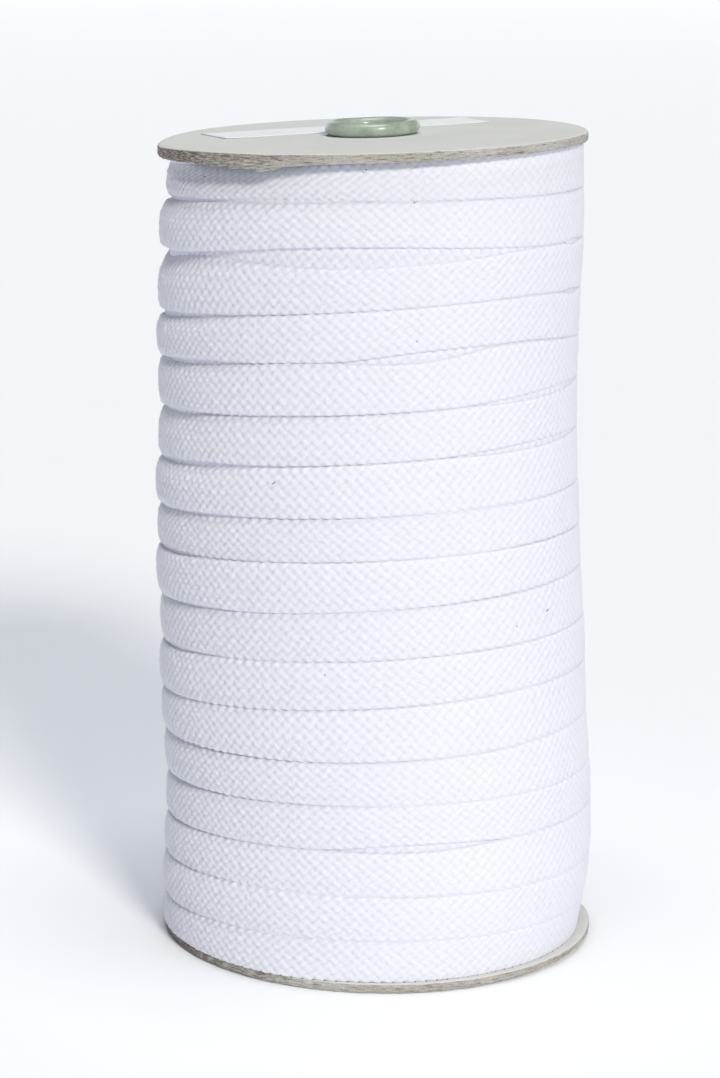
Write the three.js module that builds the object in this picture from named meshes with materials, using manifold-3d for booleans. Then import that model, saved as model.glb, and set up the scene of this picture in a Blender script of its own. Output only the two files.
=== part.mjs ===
// A tall spool of flat braided drawstring cord: two chipboard discs, a plastic core whose top end
// is rolled into a ring, the wound pack of cord, and a bare paper label on the top disc.
// Millimetres, +Z up. The spool stands on its base disc, and the middle of its bounding box is over
// the origin. Angles are counted from the front (-Y), positive towards the right (+X).
import * as THREE from "three";
import { mergeVertices } from "three/addons/utils/BufferGeometryUtils.js";
import Module from "manifold-3d";

const wasm = await Module();
wasm.setup();

// Driving sizes
const CORD_WIDTH = 12; // the flat cord, one turn of which rises by this much round the pack
const CORD_THICKNESS = 2.2;
const HEIGHT = 201.6; // from the floor to the top disc's upper face, at the core
const BOARD = 2.35; // thickness of both discs
const BASE_RADIUS = 54.2;
const TOP_RADIUS = 52.6;
const GAP = 0.3; // between any two pieces

// The core
const BORE = 8.2; // inner radius
const CORE_WALL = 1;
const ROLL = 1.7; // half the width of the rolled end, seen in section

// The whole spool leans a little to the left, and its top disc sits askew
const LEAN = -4.6; // how far the axis has moved at the top disc
const ASKEW = Math.tan(THREE.MathUtils.degToRad(2.5)); // rise of the top disc towards the right

// The label, lying on the top disc behind the ring
const LABEL = { length: 71, width: 17.7, thickness: 0.3, x: -6.7, y: 19.5, turn: 23.4 };

// The lower ply of the top disc is torn at its rim and hangs down there
const TORN = { from: -47, peak: -30, to: -21, drop: 1.9, root: 1.2 };

// How far the pack's middle stands off the leaning axis, and its radius, every 20 mm from the floor
const PACK_STEP = 20;
const PACK = [
  { offset: -0.9, radius: 53.2 },
  { offset: 0.2, radius: 54.1 },
  { offset: 0.55, radius: 53.7 },
  { offset: -0.25, radius: 53.5 },
  { offset: -0.75, radius: 53.2 },
  { offset: -1.6, radius: 52.9 },
  { offset: -2.0, radius: 52.4 },
  { offset: -1.5, radius: 51.9 },
  { offset: -1.15, radius: 51.8 },
  { offset: -0.1, radius: 51.6 },
  { offset: 1.0, radius: 50.9 },
];

// The lower edge of each turn at the front, from the base disc up, and last the top turn's upper
// edge. Slant lifts the edge at the right and lowers it at the left; swell makes the turn stand out.
const TURNS = [
  { height: 2.4, slant: -2.1, swell: 0.0 },
  { height: 12.8, slant: -1.5, swell: 0.1 },
  { height: 24.0, slant: -0.9, swell: 0.0 },
  { height: 35.6, slant: 0.2, swell: -0.2 },
  { height: 46.4, slant: 0.0, swell: 0.1 },
  { height: 57.3, slant: 0.6, swell: -0.3 },
  { height: 70.2, slant: 1.1, swell: 0.4 },
  { height: 82.0, slant: 0.3, swell: -0.3 },
  { height: 94.1, slant: 0.85, swell: 0.3 },
  { height: 105.9, slant: 0.1, swell: -0.3 },
  { height: 116.4, slant: 0.0, swell: 0.6 },
  { height: 128.7, slant: 0.8, swell: -0.2 },
  { height: 140.7, slant: -0.3, swell: 0.0 },
  { height: 154.1, slant: -0.3, swell: 0.2 },
  { height: 165.0, slant: -0.2, swell: 0.2 },
  { height: 177.9, slant: -2.0, swell: -0.2 },
  { height: 190.1, slant: -2.75, swell: 0.1 },
  { height: 199.3, slant: -2.1, swell: -0.3 },
];

// Where two turns stand apart and the layer beneath shows: below which turn, round which angle,
// how many degrees to each side, and how wide at the middle
const OPEN_JOINTS = [
  { turn: 15, angle: -12, reach: 52, width: 4.6 },
  { turn: 13, angle: 8, reach: 22, width: 1.1 },
  { turn: 12, angle: 34, reach: 24, width: 1.1 },
  { turn: 11, angle: -52, reach: 22, width: 1.3 },
  { turn: 3, angle: 8, reach: 26, width: 1.7 },
  { turn: 2, angle: 160, reach: 30, width: 1.8 },
  { turn: 5, angle: -150, reach: 36, width: 2.6 },
  { turn: 10, angle: -170, reach: 34, width: 3.4 },
  { turn: 12, angle: 150, reach: 26, width: 1.6 },
  { turn: 14, angle: -140, reach: 24, width: 1.8 },
  { turn: 16, angle: 170, reach: 30, width: 2.2 },
];
const CLOSED_JOINT = 0.55; // width of a joint where the turns touch

// Section of one turn, from its lower edge to its upper one; sink is a share of the cord's thickness
const SECTION = [
  { across: 0, sink: 0.6 },
  { across: 0.07, sink: 0.15 },
  { across: 0.34, sink: 0 },
  { across: 0.66, sink: 0 },
  { across: 0.93, sink: 0.15 },
  { across: 1, sink: 0.6 },
];

const PACK_SIDES = 44;
const DISC_SIDES = 72;
const CORE_SIDES = 40;
const ROLL_STEPS = 12;
const AROUND = 360;

const lift = BOARD + GAP; // the pack's underside
const deck = HEIGHT - BOARD - GAP; // the pack's upper face
const sleeve = BORE + CORE_WALL + GAP; // radius of the hole that the core passes through

// A column of a table between its rows, on one smooth curve; past either end it goes on by step
function along(rows, column, at, step = 0) {
  const value = (index) => {
    const row = THREE.MathUtils.clamp(index, 0, rows.length - 1);
    return rows[row][column] + (index - row) * step;
  };
  const first = Math.floor(at);
  const t = at - first;
  const [a, b, c, d] = [-1, 0, 1, 2].map((k) => value(first + k));
  return b + (t / 2) * (c - a + t * (2 * a - 5 * b + 4 * c - d + t * (3 * (b - c) + d - a)));
}

// Height of the edge that winds up the pack; a whole step in turn is one turn of the cord
function edgeHeight(turn) {
  const level = along(TURNS, "height", turn, CORD_WIDTH);
  return level + along(TURNS, "slant", turn) * Math.sin(2 * Math.PI * turn);
}

function jointWidth(turn) {
  let width = CLOSED_JOINT;
  for (const joint of OPEN_JOINTS) {
    const off = (turn - joint.turn) * AROUND - joint.angle;
    if (Math.abs(off) < joint.reach) {
      width = Math.max(width, joint.width * Math.cos((Math.PI / 2) * (off / joint.reach)) ** 2);
    }
  }
  return width;
}

// A point of the pack's surface: which turn, how far across it, and how deep under its crown
function packPoint(turn, row, target) {
  const angle = 2 * Math.PI * turn;
  const low = edgeHeight(turn) + jointWidth(turn) / 2;
  const high = edgeHeight(turn + 1) - jointWidth(turn + 1) / 2;
  const z = THREE.MathUtils.lerp(low, high, row.across);
  const swell = along(TURNS, "swell", turn) - row.sink * CORD_THICKNESS;
  const radius = along(PACK, "radius", z / PACK_STEP) + swell;
  const offset = along(PACK, "offset", z / PACK_STEP);
  return target.set(offset + radius * Math.sin(angle), -radius * Math.cos(angle), z);
}

// The pack's outside, row after row of one long winding, closed by a fan at each end
function windingGeometry() {
  const perTurn = SECTION.length;
  const firstTurn = -1;
  const rows = (TURNS.length + 1) * perTurn;
  const points = [];
  const faces = [];
  const point = new THREE.Vector3();
  for (let row = 0; row < rows; row += 1) {
    for (let side = 0; side < PACK_SIDES; side += 1) {
      const turn = firstTurn + Math.floor(row / perTurn) + side / PACK_SIDES - 0.5;
      points.push(...packPoint(turn, SECTION[row % perTurn], point).toArray());
    }
  }
  // Past the last side of a row the winding goes on one turn higher
  const index = (row, side) =>
    side < PACK_SIDES ? row * PACK_SIDES + side : (row + perTurn) * PACK_SIDES;
  for (let row = 0; row < rows - 1; row += 1) {
    const sides = row + perTurn < rows - 1 ? PACK_SIDES : PACK_SIDES - 1;
    for (let side = 0; side < sides; side += 1) {
      const [a, b] = [index(row, side), index(row, side + 1)];
      const [c, d] = [index(row + 1, side + 1), index(row + 1, side)];
      faces.push(a, b, c, a, c, d);
    }
  }
  const underRim = [];
  const upperRim = [];
  for (let side = 0; side < PACK_SIDES; side += 1) {
    underRim.push(index(0, side));
    upperRim.push(index(rows - 1, side));
  }
  for (let row = perTurn; row > 0; row -= 1) underRim.push(index(row, 0));
  for (let row = rows - 2; row >= rows - 1 - perTurn; row -= 1) {
    upperRim.push(index(row, PACK_SIDES - 1));
  }
  const fan = (rim, z, upward) => {
    const tip = points.length / 3;
    points.push(0, 0, z);
    rim.forEach((here, k) => {
      const next = rim[(k + 1) % rim.length];
      faces.push(...(upward ? [here, next, tip] : [next, here, tip]));
    });
  };
  fan(underRim, -2 * CORD_WIDTH, false);
  fan(upperRim, HEIGHT + 2 * CORD_WIDTH, true);
  const geometry = new THREE.BufferGeometry();
  geometry.setAttribute("position", new THREE.Float32BufferAttribute(points, 3));
  geometry.setIndex(faces);
  return geometry;
}

// A solid turned about the Z axis from a closed section of [radius, height] points
function turned(section, sides) {
  const profile = [...section, section[0]].map(([radius, height]) => new THREE.Vector2(radius, height));
  return new THREE.LatheGeometry(profile, sides).rotateX(Math.PI / 2);
}

function washer(inner, outer, bottom, top, sides) {
  const section = [[inner, bottom], [outer, bottom], [outer, top], [inner, top]];
  return turned(section, sides);
}

function solidOf(geometry) {
  const bare = geometry.clone();
  bare.deleteAttribute("normal");
  bare.deleteAttribute("uv");
  const merged = mergeVertices(bare, 1e-3);
  const mesh = new wasm.Mesh({
    numProp: 3,
    vertProperties: merged.attributes.position.array,
    triVerts: new Uint32Array(merged.index.array),
  });
  return new wasm.Manifold(mesh);
}

function geometryOf(solid) {
  const mesh = solid.getMesh();
  const geometry = new THREE.BufferGeometry();
  geometry.setAttribute("position", new THREE.Float32BufferAttribute(mesh.vertProperties, mesh.numProp));
  geometry.setIndex(new THREE.BufferAttribute(mesh.triVerts, 1));
  return geometry;
}

// Moves every point of a geometry by a rule
function reshaped(geometry, rule) {
  const position = geometry.getAttribute("position");
  const point = new THREE.Vector3();
  for (let k = 0; k < position.count; k += 1) {
    rule(point.fromBufferAttribute(position, k));
    position.setXYZ(k, point.x, point.y, point.z);
  }
  return geometry;
}

// From the upright spool to the leaning one
function leaning(point) {
  const share = point.z / HEIGHT;
  point.z += ASKEW * share * point.x;
  point.x += LEAN * share;
}

// Lowers the torn stretch of the top disc's lower rim
function torn(point) {
  const angle = THREE.MathUtils.radToDeg(Math.atan2(point.x, -point.y));
  const atRim = Math.hypot(point.x, point.y) > TOP_RADIUS - TORN.root / 2;
  if (!atRim || point.z > HEIGHT - BOARD / 2) return;
  const side = angle < TORN.peak ? TORN.from : TORN.to;
  const share = THREE.MathUtils.clamp((angle - side) / (TORN.peak - side), 0, 1);
  point.z -= TORN.drop * share;
}

function topDisc() {
  const [under, upper] = [HEIGHT - BOARD, HEIGHT];
  const section = [
    [sleeve, under],
    [TOP_RADIUS - TORN.root, under],
    [TOP_RADIUS, under],
    [TOP_RADIUS, upper],
    [sleeve, upper],
  ];
  return reshaped(turned(section, DISC_SIDES), torn);
}

// The tube, and the roll at its top end that rests on the top disc
function coreTube() {
  const outer = BORE + CORE_WALL;
  const middle = { radius: BORE + ROLL, height: HEIGHT + GAP + ROLL };
  const start = Math.PI + Math.acos((middle.radius - outer) / ROLL);
  const end = 3 * Math.PI;
  const section = [[BORE, 0], [outer, 0]];
  for (let k = 0; k <= ROLL_STEPS; k += 1) {
    const angle = THREE.MathUtils.lerp(start, end, k / ROLL_STEPS);
    section.push([middle.radius + ROLL * Math.cos(angle), middle.height + ROLL * Math.sin(angle)]);
  }
  return turned(section, CORE_SIDES);
}

function woundPack() {
  const trim = washer(sleeve, 2 * BASE_RADIUS, lift, deck, PACK_SIDES);
  return geometryOf(solidOf(windingGeometry()).intersect(solidOf(trim)));
}

function paperLabel() {
  return new THREE.BoxGeometry(LABEL.length, LABEL.width, LABEL.thickness)
    .rotateZ(THREE.MathUtils.degToRad(LABEL.turn))
    .translate(LABEL.x, LABEL.y, HEIGHT + GAP + LABEL.thickness / 2);
}

function piece(name, geometry, color, roughness) {
  const material = new THREE.MeshStandardMaterial({ color, roughness, metalness: 0 });
  const mesh = new THREE.Mesh(reshaped(geometry, leaning), material);
  mesh.name = name;
  return mesh;
}

const spool = new THREE.Group();
spool.add(
  piece("bottom_flange", washer(sleeve, BASE_RADIUS, 0, BOARD, DISC_SIDES), 0xc9c7c2, 0.9),
  piece("core", coreTube(), 0xa3b09f, 0.35),
  piece("cord_winding", woundPack(), 0xf1f2f6, 0.85),
  piece("top_flange", topDisc(), 0xcfcfcc, 0.9),
  piece("label", paperLabel(), 0xf4f5f7, 0.7),
);

// Stand the spool with the middle of its bounding box over the origin
const middle = new THREE.Box3().setFromObject(spool).getCenter(new THREE.Vector3());
spool.position.set(-middle.x, -middle.y, 0);

export default spool;
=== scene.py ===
"""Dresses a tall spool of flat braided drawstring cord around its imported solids.

The spool has two chipboard discs, a plastic core whose upper end is rolled into a ring, the cord
wound between the discs and a bare paper label. Each piece is shaped upright in millimetres, and then
leaned and scaled to metres as the solids are. Angles are counted from the front, positive to the right.
"""

import math

import bmesh
import bpy
import numpy as np
from bpy.props import FloatProperty, FloatVectorProperty, IntProperty, PointerProperty
from mathutils import Matrix, Vector


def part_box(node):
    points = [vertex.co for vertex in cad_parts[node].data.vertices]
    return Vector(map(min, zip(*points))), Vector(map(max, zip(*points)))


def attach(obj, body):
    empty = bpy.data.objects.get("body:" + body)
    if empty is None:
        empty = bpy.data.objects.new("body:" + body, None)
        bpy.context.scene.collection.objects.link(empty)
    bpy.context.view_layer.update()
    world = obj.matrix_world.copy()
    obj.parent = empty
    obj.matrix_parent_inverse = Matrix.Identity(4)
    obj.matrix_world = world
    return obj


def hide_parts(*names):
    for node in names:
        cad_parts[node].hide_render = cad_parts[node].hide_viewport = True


bl_info = {
    "name": "Drawstring Cord Spool",
    "version": (1, 0, 0),
    "blender": (4, 5, 0),
    "location": "3D View > Sidebar > Cord Spool",
    "description": "Builds the boards, core, wound cord and label of a cord spool around its solids",
    "category": "Object",
}

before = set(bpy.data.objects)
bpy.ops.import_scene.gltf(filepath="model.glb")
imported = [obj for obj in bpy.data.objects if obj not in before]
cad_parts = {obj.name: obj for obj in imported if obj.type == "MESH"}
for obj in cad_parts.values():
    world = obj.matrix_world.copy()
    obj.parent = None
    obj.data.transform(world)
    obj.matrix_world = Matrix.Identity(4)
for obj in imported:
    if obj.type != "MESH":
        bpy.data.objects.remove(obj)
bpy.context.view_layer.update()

MM = 0.001
BODY = "root"
FULL_CIRCLE = 360.0

# Sizes that the solids share, in millimetres
HEIGHT = 201.6
BOARD = 2.35
GAP = 0.3
BASE_RADIUS = 54.2
TOP_RADIUS = 52.6
BORE = 8.2
CORE_WALL = 1.0
ROLL = 1.7
SLEEVE = BORE + CORE_WALL + GAP
LEAN = -4.6
ASKEW = math.tan(math.radians(2.5))
LABEL = {"length": 71.0, "width": 17.7, "x": -6.7, "y": 19.5, "turn": 23.4}

# Clearances: of the outer layer's cut from the discs, of the layer beneath from the discs, and of the
# ring and the label from the top disc
TRIM = 0.03
INSET = 0.1
REST = 0.05

# Width of a disc's margin that wears, and radius of its rounded edge
MARGIN = 3.5
EASE = 0.5

# How far the top disc's lower ply hangs down, at angles round the disc
TORN = [
    (-112, 0.0), (-90, 0.1), (-70, 0.6), (-50, 0.8), (-40, 1.1), (-34, 1.55), (-30, 1.95),
    (-26, 1.3), (-22, 0.55), (-15, 0.15), (-8, 0.0),
]

# Where a disc's edge is worn: round which angle, the degrees to each side, how far it droops, and
# how much of its lower side is rubbed away
BASE_WORN = [(70.0, 75.0, 0.0, 1.1), (-60.0, 40.0, 0.0, 0.5)]
TOP_WORN = [(-88.0, 42.0, 0.75, 0.0), (95.0, 40.0, 0.25, 0.0)]

# How far the pack's middle stands off the leaning axis to the right and to the back, and its radius,
# every 20 mm from the floor
PACK_STEP = 20.0
PACK = np.array(
    [
        (-1.6, -0.1, 52.6),
        (0.1, 0.1, 54.05),
        (0.6, 0.0, 53.6),
        (-0.4, 0.0, 53.4),
        (-0.8, 0.0, 53.05),
        (-1.6, 0.0, 52.75),
        (-1.85, 0.0, 52.2),
        (-1.5, 0.0, 51.6),
        (-1.25, 0.1, 51.9),
        (-0.15, 0.2, 51.75),
        (0.4, 0.8, 50.9),
    ],
    dtype=[(column, float) for column in ("offset", "back", "radius")],
)

# The lower edge of each turn at the front, and last the top turn's upper edge. Slant lifts the edge
# at the right and lowers it at the left, arch lowers it at both sides, and bulge is how far the turn
# stands out at the left. Last come the widths of the joint at that edge, at the right and at the left.
TURNS = np.array(
    [
        (1.9, -2.1, 2.5, 0.1, 0.10, 0.40),
        (12.9, -1.65, 3.0, 0.15, 0.05, 0.28),
        (24.1, -1.9, 3.4, -0.1, 0.08, 0.30),
        (35.7, -0.15, 2.6, 0.0, 0.16, 0.50),
        (46.5, -0.8, 3.4, 0.0, 0.09, 0.60),
        (57.4, 0.0, 1.8, 0.05, 0.14, 0.62),
        (70.5, 1.2, 2.7, 0.15, 0.13, 0.42),
        (82.1, 0.55, 3.0, -0.3, 0.17, 0.40),
        (94.1, 1.0, 2.1, 0.35, 0.18, 0.45),
        (105.9, 0.1, 2.6, -0.55, 0.24, 0.60),
        (116.5, -0.15, 2.9, 0.2, 0.19, 1.10),
        (129.1, 0.5, 2.6, -0.3, 0.19, 1.00),
        (140.8, -0.2, 2.0, 0.1, 0.17, 1.30),
        (154.1, 1.4, 1.3, 0.1, 0.20, 0.65),
        (165.1, 0.35, 2.4, -0.2, 0.14, 1.90),
        (177.4, -2.2, 0.2, 0.3, 0.22, 0.80),
        (190.1, -2.4, 2.6, -1.2, 0.34, 1.30),
        (199.3, -0.6, 0.8, -1.4, 0.20, 0.60),
    ],
    dtype=[(column, float) for column in ("height", "slant", "arch", "bulge", "gap", "left_gap")],
)

# Where two turns stand apart: below which turn, round which angle, the degrees to each side, and
# the width at the middle
OPEN_JOINTS = [
    (16, -80.0, 44.0, 1.3),
    (15, -8.0, 68.0, 5.2),
    (15, -86.0, 34.0, 2.6),
    (15, 70.0, 9.0, 1.3),
    (14, -72.0, 30.0, 1.1),
    (14, 71.0, 9.0, 1.2),
    (13, -58.0, 40.0, 1.8),
    (13, 14.0, 28.0, 2.6),
    (12, -66.0, 32.0, 1.3),
    (12, 60.0, 44.0, 1.7),
    (11, -55.0, 42.0, 1.8),
    (11, 52.0, 42.0, 1.6),
    (9, -64.0, 34.0, 1.3),
    (8, -60.0, 34.0, 1.1),
    (7, -66.0, 34.0, 0.9),
    (4, -66.0, 28.0, 1.0),
    (3, 9.0, 31.0, 2.1),
    (2, 160.0, 30.0, 1.8),
    (5, -150.0, 36.0, 2.6),
    (10, -170.0, 34.0, 3.4),
    (12, 150.0, 26.0, 1.6),
    (14, -140.0, 24.0, 1.8),
    (16, 170.0, 30.0, 2.2),
]

# Where a joint strays from its smooth line: below which turn, round which angle, the degrees to each
# side, and how far it strays upward
STRAYS = [
    (15, 85.0, 45.0, -1.2),
    (14, 85.0, 45.0, -1.7),
    (13, 96.0, 70.0, -4.7),
    (13, 12.0, 40.0, -1.0),
    (15, -84.0, 34.0, -0.8),
]

# Where the turn below a joint folds its upper margin inward: below which turn, round which angle, the
# degrees to each side, and how deep
FOLDS = [
    (17, -46.0, 40.0, 6.5),
    (17, 0.0, 50.0, 2.2),
    (16, -66.0, 36.0, 1.7),
    (15, -70.0, 40.0, 2.0),
    (14, -62.0, 36.0, 1.2),
    (13, -62.0, 34.0, 0.8),
    (12, -62.0, 36.0, 1.1),
    (11, -58.0, 34.0, 0.9),
    (10, -60.0, 30.0, 0.6),
    (5, -58.0, 30.0, 0.4),
]

# The lowest turn is pulled out to just past the base's edge between two angles. It starts at the
# first angle of each pair and is full from the second on. Above this height nothing is pulled out.
PULLED_BACK = (-115.0, -90.0)
PULLED_FRONT = (-6.0, -28.0)
PULLED_HEIGHT = 6.0
PULLED_RADIUS = BASE_RADIUS + 0.1

# Lint on the cord: angle, height, distance from the axis, length and slant in degrees
LINT = [
    (52.5, 89.5, 52.35, 1.1, 30.0),
    (40.2, 87.5, 52.35, 0.4, 0.0),
    (11.1, 157.8, 51.72, 0.35, 0.0),
    (-26.3, 124.3, 53.5, 1.3, 38.0),
    (-13.1, 78.6, 53.4, 0.4, 20.0),
    (-51.8, 195.3, 50.35, 0.9, -10.0),
    (-46.7, 197.1, 50.0, 0.7, 0.0),
    (-1.8, 197.7, 50.05, 0.6, 0.0),
    (10.8, 189.8, 50.8, 0.5, 0.0),
    (27.6, 157.9, 51.3, 0.35, 0.0),
]

# Each piece of the outer layer starts and ends behind the spool, at these turns
PIECE_ENDS = (-1.5, 2.5, 5.5, 8.5, 11.5, 14.5, 17.5)

YARN = "bleached_yarn"


class CordSettings(bpy.types.PropertyGroup):
    width: FloatProperty(name="Width", description="Width of the flat cord, in millimetres", default=12.0)
    depth: FloatProperty(
        name="Depth", description="How deep the side of a turn shows, in millimetres", default=1.5
    )
    round: FloatProperty(
        name="Edge", description="Radius of the cord's folded edge, in millimetres", default=0.5
    )
    crown: FloatProperty(
        name="Crown", description="How far a turn swells between its joints, in millimetres", default=0.9
    )
    joint: FloatProperty(
        name="Joint", description="Factor on the joints between touching turns", default=1.0
    )
    stitch: FloatProperty(
        name="Stitch Length", description="One plait along the cord, in millimetres", default=2.8
    )
    plait: FloatProperty(
        name="Plait Width", description="One plait across the cord, in millimetres", default=2.72
    )
    strand: FloatProperty(
        name="Strand Relief", description="Rise of a strand over its sides, in millimetres", default=0.28
    )
    weave: FloatProperty(
        name="Over and Under", description="Rise of a strand where it crosses, in millimetres", default=0.12
    )
    scallop: FloatProperty(
        name="Scallop", description="How far the loops of the cord's edge stand out, in millimetres",
        default=0.2,
    )
    steps: IntProperty(name="Steps", description="Mesh steps along and across one plait", default=6, min=3)
    colour: FloatVectorProperty(
        name="Colour", description="Bleached yarn", subtype="COLOR", default=(0.79, 0.80, 0.885)
    )
    # Painted shade: the colour the yarn is painted between the strands, where shade falls in the creases
    painted_hollow_shade: FloatVectorProperty(
        name="Painted Hollow Shade", description="Yarn between the strands", subtype="COLOR",
        default=(0.68, 0.695, 0.815),
    )


class BoardSettings(bpy.types.PropertyGroup):
    sides: IntProperty(name="Sides", description="Mesh steps round a disc", default=600, min=48)
    face: FloatVectorProperty(
        name="Face", description="Pressed face of the chipboard", subtype="COLOR",
        default=(0.695, 0.69, 0.665),
    )
    edge: FloatVectorProperty(
        name="Edge", description="Cut edge of the chipboard", subtype="COLOR", default=(0.46, 0.445, 0.415)
    )
    streak: FloatVectorProperty(
        name="Streak", description="Split between the plies", subtype="COLOR", default=(0.12, 0.11, 0.10)
    )


class CoreSettings(bpy.types.PropertyGroup):
    sides: IntProperty(name="Sides", description="Mesh steps round the core", default=128, min=24)
    colour: FloatVectorProperty(
        name="Colour", description="Sage green plastic", subtype="COLOR", default=(0.375, 0.435, 0.365)
    )
    dark: FloatVectorProperty(
        name="Cloud Colour", description="Darker clouds in the plastic", subtype="COLOR",
        default=(0.25, 0.31, 0.245),
    )
    roughness: FloatProperty(
        name="Roughness", description="Gloss of the plastic", subtype="FACTOR", default=0.28
    )


class LabelSettings(bpy.types.PropertyGroup):
    thickness: FloatProperty(
        name="Thickness", description="Thickness of the paper, in millimetres", default=0.14
    )
    curl: FloatProperty(
        name="Curl", description="How far the corners lift, in millimetres", default=0.12
    )
    colour: FloatVectorProperty(
        name="Colour", description="Plain white paper", subtype="COLOR", default=(0.87, 0.88, 0.90)
    )


class StudioSettings(bpy.types.PropertyGroup):
    camera_distance: FloatProperty(
        name="Camera Distance", description="In front of the base disc's middle", subtype="DISTANCE",
        default=0.7918,
    )
    camera_side: FloatProperty(
        name="Camera Side", description="To the right of the base disc's middle", subtype="DISTANCE",
        default=-0.0061,
    )
    camera_height: FloatProperty(
        name="Camera Height", description="Above the floor", subtype="DISTANCE", default=0.2679
    )
    camera_down: FloatProperty(
        name="Camera Tilt", description="Down from level", subtype="ANGLE", default=0.2084
    )
    camera_roll: FloatProperty(
        name="Camera Roll", description="Turn about the view", subtype="ANGLE", default=0.0161
    )
    lens: FloatProperty(name="Lens", description="Focal length", subtype="DISTANCE_CAMERA", default=107.76)
    floor: FloatVectorProperty(
        name="Floor", description="Pale floor", subtype="COLOR", default=(0.916, 0.92, 0.945)
    )
    sky: FloatProperty(name="Ambient", description="Strength of the surroundings", default=0.02)
    tint: FloatVectorProperty(
        name="Ambient Colour", description="Cool white overhead, fill and surroundings", subtype="COLOR",
        default=(0.905, 0.947, 1.0),
    )
    key: FloatProperty(name="Key", description="Strength of the key light", default=2.09)
    key_colour: FloatVectorProperty(
        name="Key Colour", description="Warm white key light", subtype="COLOR", default=(1.0, 0.973, 0.87)
    )
    key_side: FloatProperty(
        name="Key Side", description="To the right of the front", subtype="ANGLE", default=math.radians(21)
    )
    key_height: FloatProperty(
        name="Key Height", description="Above level", subtype="ANGLE", default=math.radians(29)
    )
    key_spread: FloatProperty(
        name="Key Spread", description="Softness of the key light", subtype="ANGLE",
        default=math.radians(13),
    )
    fill: FloatProperty(name="Fill", description="Strength of the soft light at the right", default=0.4)
    fill_side: FloatProperty(
        name="Fill Side", description="To the right of the front", subtype="ANGLE", default=math.radians(80)
    )
    fill_height: FloatProperty(
        name="Fill Height", description="Above level", subtype="ANGLE", default=math.radians(15)
    )
    fill_spread: FloatProperty(
        name="Fill Spread", description="Softness of the fill light", subtype="ANGLE",
        default=math.radians(60),
    )
    overhead: FloatProperty(name="Overhead", description="Strength of the overhead light", default=1.98)
    overhead_side: FloatProperty(
        name="Overhead Side", description="To the right of the front", subtype="ANGLE", default=0.0
    )
    overhead_height: FloatProperty(
        name="Overhead Height", description="Above level", subtype="ANGLE", default=math.radians(88)
    )
    overhead_spread: FloatProperty(
        name="Overhead Spread", description="Softness of the overhead light", subtype="ANGLE",
        default=math.radians(34),
    )


class SpoolSettings(bpy.types.PropertyGroup):
    cord: PointerProperty(type=CordSettings)
    board: PointerProperty(type=BoardSettings)
    core: PointerProperty(type=CoreSettings)
    label: PointerProperty(type=LabelSettings)
    studio: PointerProperty(type=StudioSettings)


def rising(value, start, end):
    """0 before start, 1 past end, and evenly between the two."""
    return np.clip((value - start) / (end - start), 0, 1)


def leftness(turn):
    """1 at the spool's left, 0 at its right, and half at the front and the back."""
    return (1 - np.sin(2 * np.pi * turn)) / 2


def between(right, left, share):
    """A value's way from the one at the right to the one at the left."""
    return right + (left - right) * share


def along(column, at, step=0.0):
    """A table's column between its rows, on one smooth curve that goes on by step past either end."""
    first = np.floor(at).astype(int)
    t = at - first

    def value(index):
        row = np.clip(index, 0, len(column) - 1)
        return column[row] + (index - row) * step

    a, b, c, d = (value(first + k) for k in (-1, 0, 1, 2))
    return b + t / 2 * (c - a + t * (2 * a - 5 * b + 4 * c - d + t * (3 * (b - c) + d - a)))


def wander(at, seed, waves=5, longest=1.0):
    """A smooth uneven curve of at, between about -1 and 1, the same for one seed in every run."""
    random = np.random.default_rng(seed)
    total = np.zeros_like(at, dtype=float)
    for k in range(waves):
        pitch = longest / (1 + 0.9 * k + 0.3 * random.random())
        total += np.sin(2 * np.pi * (at / pitch + random.random())) / (1 + 0.5 * k)
    return total / 2.2


def closed_wander(angle, seed, waves):
    """An uneven curve that meets itself after a full circle, between about -1 and 1."""
    random = np.random.default_rng(seed)
    total = np.zeros_like(angle, dtype=float)
    for k in range(1, waves + 1):
        height = random.normal() / math.sqrt(waves)
        total += height * np.sin(np.radians(k * angle + FULL_CIRCLE * random.random()))
    return total


def swell(turn, place):
    """A smooth rise of an edge's place in a table: below a turn, round an angle, within a reach."""
    below, angle, reach, height = place
    off = ((turn - below) * FULL_CIRCLE - angle) / reach
    return height * np.cos(np.pi / 2 * np.clip(off, -1, 1)) ** 2


def edge_height(turn):
    """Height of the edge that winds up the pack. A whole step in turn is one turn of the cord."""
    height = along(TURNS["height"], turn, bpy.context.scene.spool.cord.width)
    around = 2 * np.pi * turn
    height = height + along(TURNS["slant"], turn) * np.sin(around)
    height = height - along(TURNS["arch"], turn) * (1 - np.cos(around))
    return height + sum(swell(turn, place) for place in STRAYS)


def joint_width(turn):
    """Distance between the turns at an edge."""
    uneven = np.clip(1 + 0.40 * wander(turn, 51, 6, 0.7), 0.6, 1.5)
    width = between(along(TURNS["gap"], turn), along(TURNS["left_gap"], turn), leftness(turn) ** 4)
    width = bpy.context.scene.spool.cord.joint * width * uneven
    for place in OPEN_JOINTS:
        width = np.maximum(width, swell(turn, place))
    return width


def fold_depth(turn):
    """How far the turn below an edge folds its upper margin inward."""
    return sum(swell(turn, place) for place in FOLDS)


def base_middle():
    """Middle of the base disc's box in the frame."""
    return sum((Vector(corner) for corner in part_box("bottom_flange")), Vector()) / 2


def round_axis(radius, around, z):
    """Points of the upright spool at a radius, an angle in radians and a height."""
    return np.stack(np.broadcast_arrays(radius * np.sin(around), -radius * np.cos(around), z), axis=-1)


def lean(points):
    """From the upright spool in millimetres to its leaning place in the frame, in metres."""
    foot = base_middle()
    share = points[..., 2] / HEIGHT
    moved = points.copy()
    moved[..., 2] += ASKEW * share * points[..., 0]
    moved[..., 0] += LEAN * share
    moved *= MM
    moved[..., 0] += foot.x
    moved[..., 1] += foot.y
    return moved


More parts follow.
